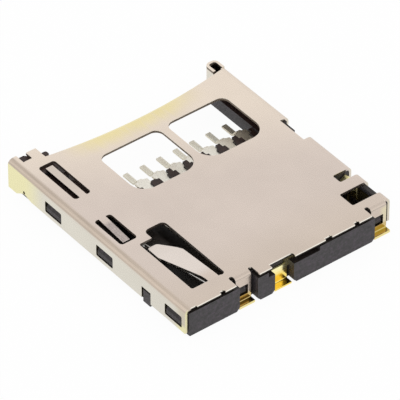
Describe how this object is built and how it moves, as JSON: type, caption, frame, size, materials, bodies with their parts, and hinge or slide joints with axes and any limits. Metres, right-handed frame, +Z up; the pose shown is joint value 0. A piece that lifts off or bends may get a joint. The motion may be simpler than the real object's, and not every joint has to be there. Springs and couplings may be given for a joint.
{
  "type": "microsd card connector",
  "caption": "Low push-push connector for a microSD card: stamped metal cover with windows over a moulded housing with sprung contacts, a sprung slider with a heart track, and solder feet.",
  "frame": {"origin": "middle of the footprint, on the board", "axes": "+Y the way the card goes in, +Z up from the board, +X towards the slider's side"},
  "size_m": [0.0138, 0.0152, 0.0018],
  "materials": {
    "cover_sheet": "satin nickel plate, gold flash at the feet",
    "housing_plastic": "fine matte moulding",
    "slider_plastic": "fine matte moulding",
    "contact_strip": "satin plated spring alloy",
    "switch_strip": "gold flash on spring alloy",
    "spring_wire": "drawn spring wire",
    "pin_wire": "drawn hard wire"
  },
  "bodies": {
    "body": {"cover": "cover_sheet", "housing": "housing_plastic", "contact_1": "contact_strip", "contact_2": "contact_strip", "contact_3": "contact_strip", "contact_4": "contact_strip", "contact_5": "contact_strip", "contact_6": "contact_strip", "contact_7": "contact_strip", "contact_8": "contact_strip", "eject_spring": "spring_wire", "detect_spring": "switch_strip", "detect_contact": "switch_strip"},
    "slider": {"slider": "slider_plastic"},
    "cam_pin": {"cam_pin": "pin_wire"}
  },
  "joints": [
    {"name": "slider_travel", "type": "slide", "parent": "body", "child": "slider", "axis": [0, 1, 0], "range_m": [0, 0.0034], "stiffness_N_per_m": 265, "deforming": ["eject_spring"]},
    {"name": "cam_pin_swing", "type": "hinge", "parent": "body", "child": "cam_pin", "pos_m": [0.0042, 0.0066, 0.0009], "axis": [0, 0, 1], "range_deg": [-3.5, 0]}
  ],
  "couplings": [
    {"joint": "cam_pin_swing", "follows": "slider_travel", "rad_per_m": -17.453}
  ]
}
